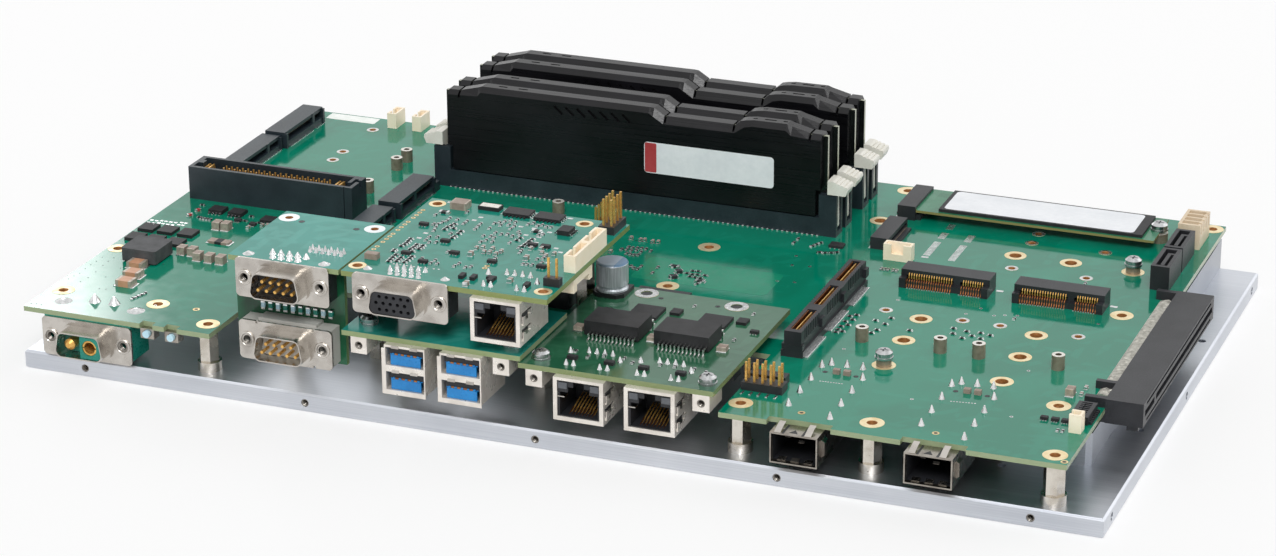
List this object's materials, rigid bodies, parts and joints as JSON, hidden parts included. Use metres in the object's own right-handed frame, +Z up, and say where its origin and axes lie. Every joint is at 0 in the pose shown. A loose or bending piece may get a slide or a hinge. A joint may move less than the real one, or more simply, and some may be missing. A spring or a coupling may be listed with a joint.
{
  "type": "single board server",
  "caption": "Wide server board on a flat metal plate, with plug-in cards and connectors along its front, memory with heat spreaders at the back, a drive and small sockets.",
  "frame": {"origin": "centre of the object's outline on the underside of the base plate", "axes": "+X along the front edge to the right, +Y from the connectors to the back, +Z up from the plate"},
  "size_m": [0.342, 0.204, 0.0585],
  "materials": {
    "plate_aluminium": "milled, fine brushed face with softened edges",
    "block_aluminium": "milled, with a bevelled front corner",
    "package_laminate": "dark laminate with a metal lid",
    "board_laminate": "green solder mask, glossy over copper fields",
    "card_laminate": "green solder mask",
    "riser_laminate": "dark green solder mask",
    "module_laminate": "near black solder mask",
    "standoff_steel": "nickel plated",
    "screw_steel": "bright nickel plated",
    "shell_steel": "tin plated sheet",
    "cage_steel": "plated sheet",
    "tinned_metal": "bright tin",
    "spacer_metal": "tinned brass",
    "gold_contact": "gold plated",
    "ring_gold": "gold plated copper land",
    "can_aluminium": "rolled can, printed sector on top",
    "chip_moulding": "moulded package",
    "ceramic_block": "fired ceramic with tinned ends",
    "ferrite_moulding": "pressed powder block",
    "green_insulator": "moulded insulator",
    "grey_insulator": "moulded insulators, black above and grey below",
    "black_insulator": "moulded insulator",
    "blue_insulator": "moulded tongue",
    "jack_moulding": "moulded insulator with grey light pipes",
    "socket_moulding": "heat resistant moulding, slate black",
    "connector_moulding": "heat resistant moulding, black",
    "spreader_paint": "black anodised sheet",
    "drive_moulding": "black board with black packages",
    "cream_moulding": "cream nylon",
    "beige_moulding": "beige moulding",
    "latch_moulding": "ivory nylon, ribbed thumb rest",
    "switch_metal": "plated cover",
    "switch_moulding": "black housing with white sliders",
    "plunger_moulding": "pale blue nylon"
  },
  "bodies": {
    "board": {"base_plate": "plate_aluminium", "heat_block": "block_aluminium", "processor": "package_laminate", "main_board": "board_laminate", "board_standoffs": "standoff_steel", "board_chips": "chip_moulding", "board_capacitors": "ceramic_block", "power_inductor": "ferrite_moulding", "electrolytic_capacitor": "can_aluminium", "power_shell": "shell_steel", "power_insert": "green_insulator", "serial_card": "card_laminate", "serial_riser": "riser_laminate", "serial_shells": "shell_steel", "serial_inserts": "grey_insulator", "display_card": "card_laminate", "display_shell": "shell_steel", "display_insert": "black_insulator", "lan_shell": "shell_steel", "usb_card": "card_laminate", "usb_shells": "shell_steel", "usb_inserts": "blue_insulator", "network_card": "card_laminate", "network_shells": "shell_steel", "jack_inserts": "jack_moulding", "magnetics": "chip_moulding", "transceiver_cages": "cage_steel", "threaded_blocks": "standoff_steel", "card_screws": "screw_steel", "card_connectors": "connector_moulding", "dimm_sockets": "socket_moulding", "memory_modules": "module_laminate", "memory_spreaders": "spreader_paint", "board_connector": "socket_moulding", "edge_sockets": "socket_moulding", "bay_connector": "connector_moulding", "m2_sockets": "connector_moulding", "m2_drive": "drive_moulding", "drive_spacers": "spacer_metal", "mini_card_sockets": "connector_moulding", "sata_connectors": "connector_moulding", "drive_power_connector": "beige_moulding", "expansion_slot": "connector_moulding", "side_switches": "switch_metal", "dip_switch": "switch_moulding", "pin_headers": "connector_moulding", "cable_connectors": "cream_moulding", "contact_pins": "gold_contact", "plated_rings": "ring_gold", "solder_joints": "tinned_metal"},
    "latch_1_left": {"latch_1_left": "latch_moulding"},
    "latch_1_right": {"latch_1_right": "latch_moulding"},
    "latch_2_left": {"latch_2_left": "latch_moulding"},
    "latch_2_right": {"latch_2_right": "latch_moulding"},
    "latch_3_left": {"latch_3_left": "latch_moulding"},
    "latch_3_right": {"latch_3_right": "latch_moulding"},
    "latch_4_left": {"latch_4_left": "latch_moulding"},
    "latch_4_right": {"latch_4_right": "latch_moulding"},
    "plunger_left": {"plunger_left": "plunger_moulding"},
    "plunger_right": {"plunger_right": "plunger_moulding"}
  },
  "joints": [
    {"name": "latch_1_left_turn", "type": "hinge", "parent": "board", "child": "latch_1_left", "pos_m": [-0.0948, 0.05065, 0.0238], "axis": [0, -1, 0], "range_deg": [0, 25]},
    {"name": "latch_1_right_turn", "type": "hinge", "parent": "board", "child": "latch_1_right", "pos_m": [0.043, 0.05065, 0.0238], "axis": [0, 1, 0], "range_deg": [0, 25]},
    {"name": "latch_2_left_turn", "type": "hinge", "parent": "board", "child": "latch_2_left", "pos_m": [-0.0948, 0.06055, 0.0238], "axis": [0, -1, 0], "range_deg": [0, 25]},
    {"name": "latch_2_right_turn", "type": "hinge", "parent": "board", "child": "latch_2_right", "pos_m": [0.043, 0.06055, 0.0238], "axis": [0, 1, 0], "range_deg": [0, 25]},
    {"name": "latch_3_left_turn", "type": "hinge", "parent": "board", "child": "latch_3_left", "pos_m": [-0.0948, 0.07815, 0.0238], "axis": [0, -1, 0], "range_deg": [0, 25]},
    {"name": "latch_3_right_turn", "type": "hinge", "parent": "board", "child": "latch_3_right", "pos_m": [0.043, 0.07815, 0.0238], "axis": [0, 1, 0], "range_deg": [0, 25]},
    {"name": "latch_4_left_turn", "type": "hinge", "parent": "board", "child": "latch_4_left", "pos_m": [-0.0948, 0.08805, 0.0238], "axis": [0, -1, 0], "range_deg": [0, 25]},
    {"name": "latch_4_right_turn", "type": "hinge", "parent": "board", "child": "latch_4_right", "pos_m": [0.043, 0.08805, 0.0238], "axis": [0, 1, 0], "range_deg": [0, 25]},
    {"name": "plunger_left_push", "type": "slide", "parent": "board", "child": "plunger_left", "axis": [0, 1, 0], "range_m": [0, 0.0003], "stiffness_N_per_m": 2000},
    {"name": "plunger_right_push", "type": "slide", "parent": "board", "child": "plunger_right", "axis": [0, 1, 0], "range_m": [0, 0.0003], "stiffness_N_per_m": 2000}
  ]
}
